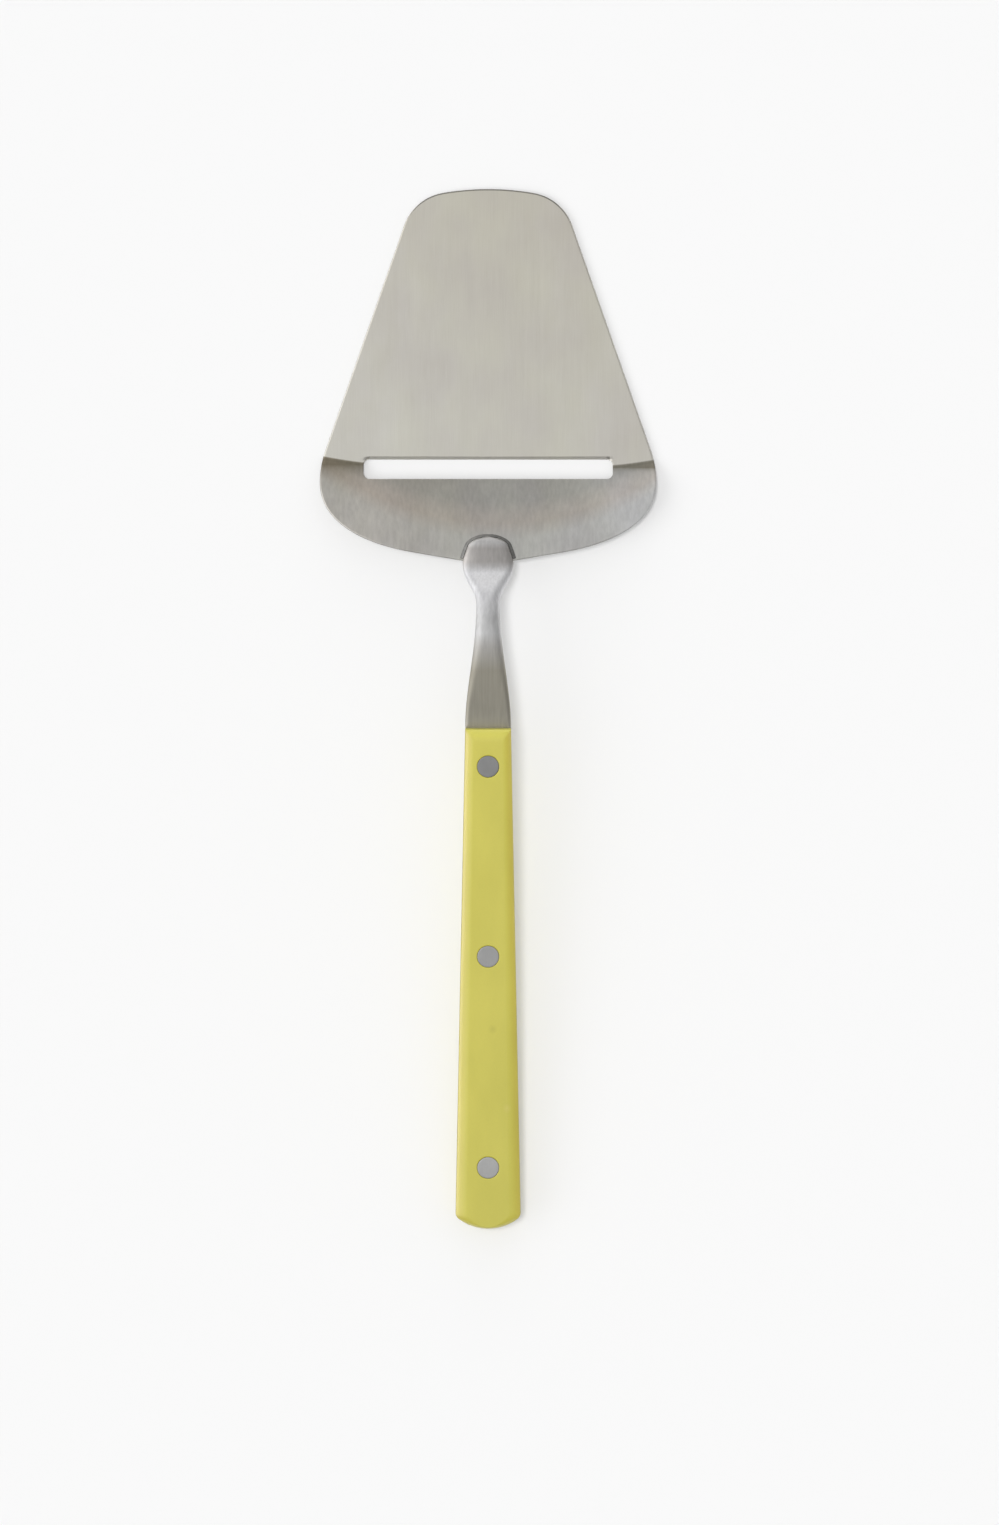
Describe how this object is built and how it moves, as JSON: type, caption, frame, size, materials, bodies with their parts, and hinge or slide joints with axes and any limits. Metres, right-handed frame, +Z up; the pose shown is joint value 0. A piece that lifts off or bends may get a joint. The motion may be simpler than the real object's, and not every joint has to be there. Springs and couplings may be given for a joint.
{
  "type": "cheese slicer",
  "caption": "Hand cheese slicer: a tapered pressed steel blade with a cutting slot and raised heel, on a slim forged neck, with a yellow riveted scale handle.",
  "frame": {"origin": "on the table, under the middle of the slicer's box", "axes": "+Y along the slicer from the handle's butt to the blade's tip, +Z up from the table, +X to the right seen from above with the blade pointing away"},
  "size_m": [0.081, 0.25, 0.0241],
  "materials": {
    "blade_steel": "fine brushing along the blade, satin",
    "neck_steel": "satin, brushed along the neck",
    "yellow_plastic": "moulded satin plastic, polished flush with the rivets",
    "rivet_metal": "ground flush, satin"
  },
  "bodies": {
    "root": {"blade": "blade_steel", "neck_tang": "neck_steel", "neck_weld": "neck_steel", "upper_scale": "yellow_plastic", "lower_scale": "yellow_plastic", "front_rivet_pin": "rivet_metal", "front_rivet_sleeve": "rivet_metal", "middle_rivet_pin": "rivet_metal", "middle_rivet_sleeve": "rivet_metal", "rear_rivet_pin": "rivet_metal", "rear_rivet_sleeve": "rivet_metal"}
  },
  "joints": []
}
